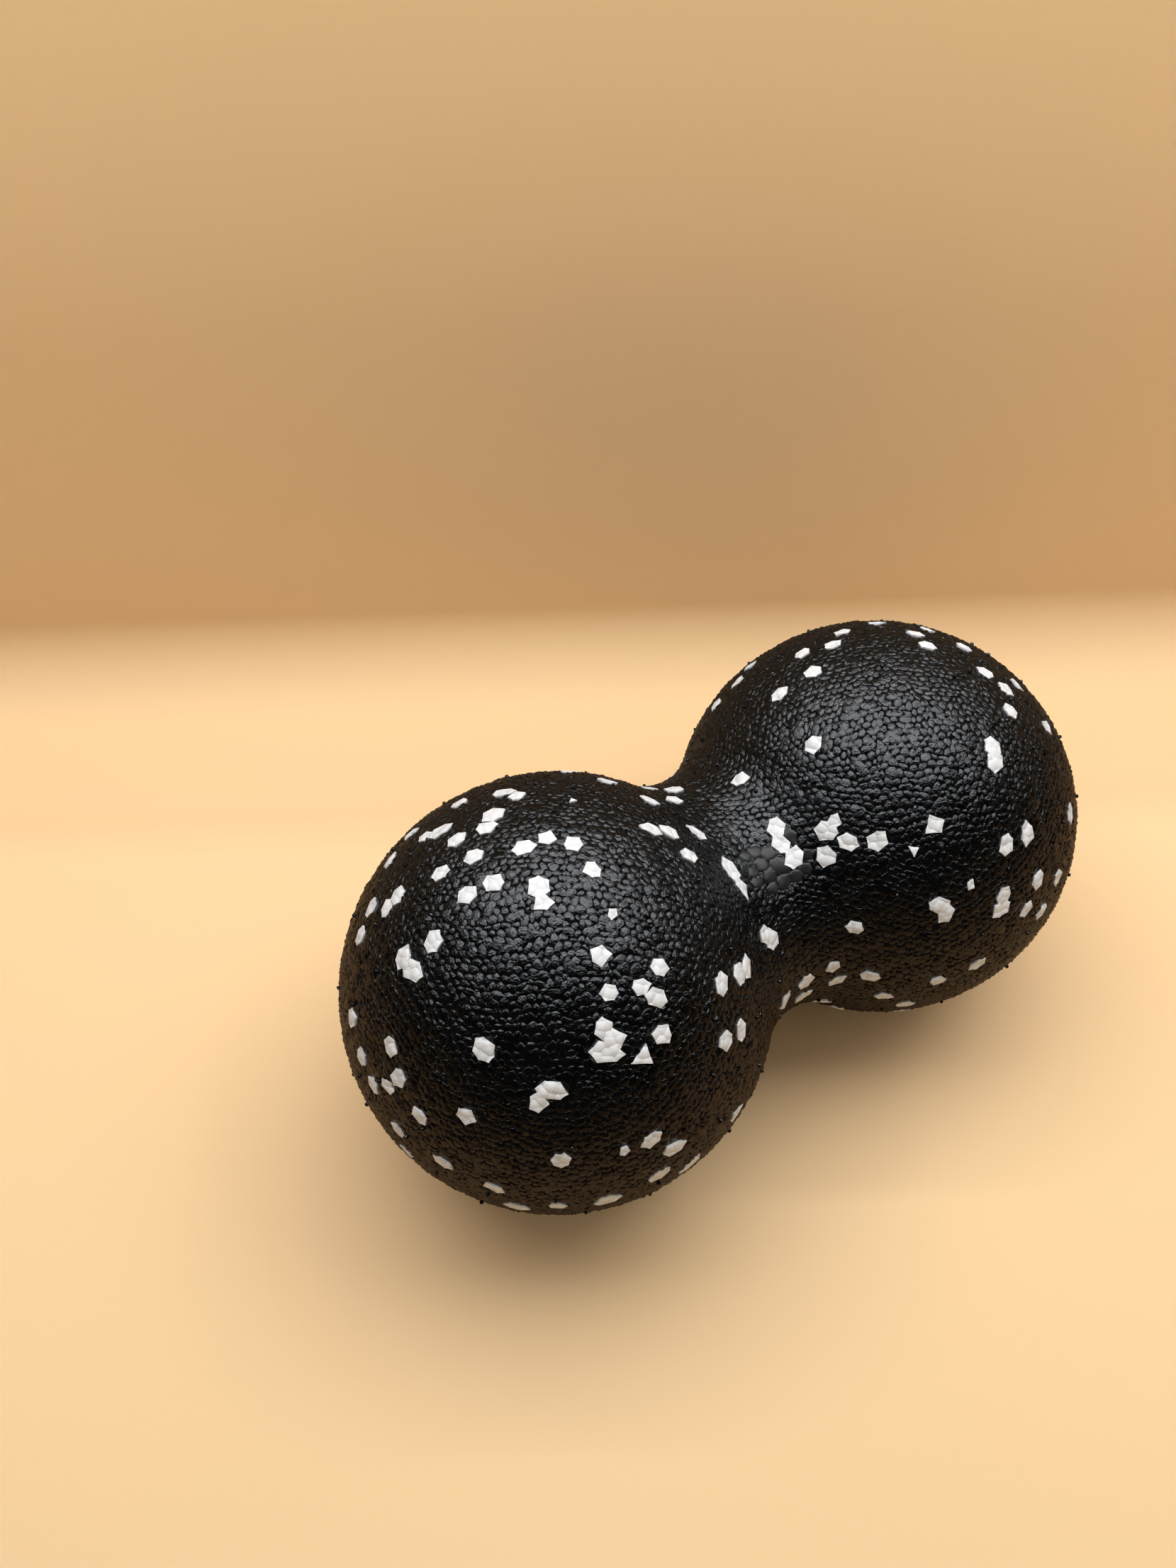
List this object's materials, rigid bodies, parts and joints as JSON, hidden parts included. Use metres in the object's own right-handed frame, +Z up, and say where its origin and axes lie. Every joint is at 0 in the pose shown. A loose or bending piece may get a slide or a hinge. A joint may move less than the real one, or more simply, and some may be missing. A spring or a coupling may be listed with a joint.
{
  "type": "peanut massage ball",
  "caption": "Peanut-shaped massage ball of firm bead foam: balls joined by a round neck, black with scattered white beads, rolled under the muscles beside the spine.",
  "frame": {"origin": "middle of the neck, on the long axis, halfway between the centres of the balls", "axes": "+X along the long axis through both balls, +Z up, with the filling mark on the upper side of the neck towards -Y"},
  "size_m": [0.155, 0.08, 0.08],
  "materials": {
    "black_foam": "black expanded polypropylene bead foam with a fine pebbled mould grain, low sheen",
    "white_foam": "white expanded polypropylene beads, fused flush with the surface, matte"
  },
  "bodies": {
    "root": {"foam_body": "black_foam", "white_beads": "white_foam"}
  },
  "joints": []
}
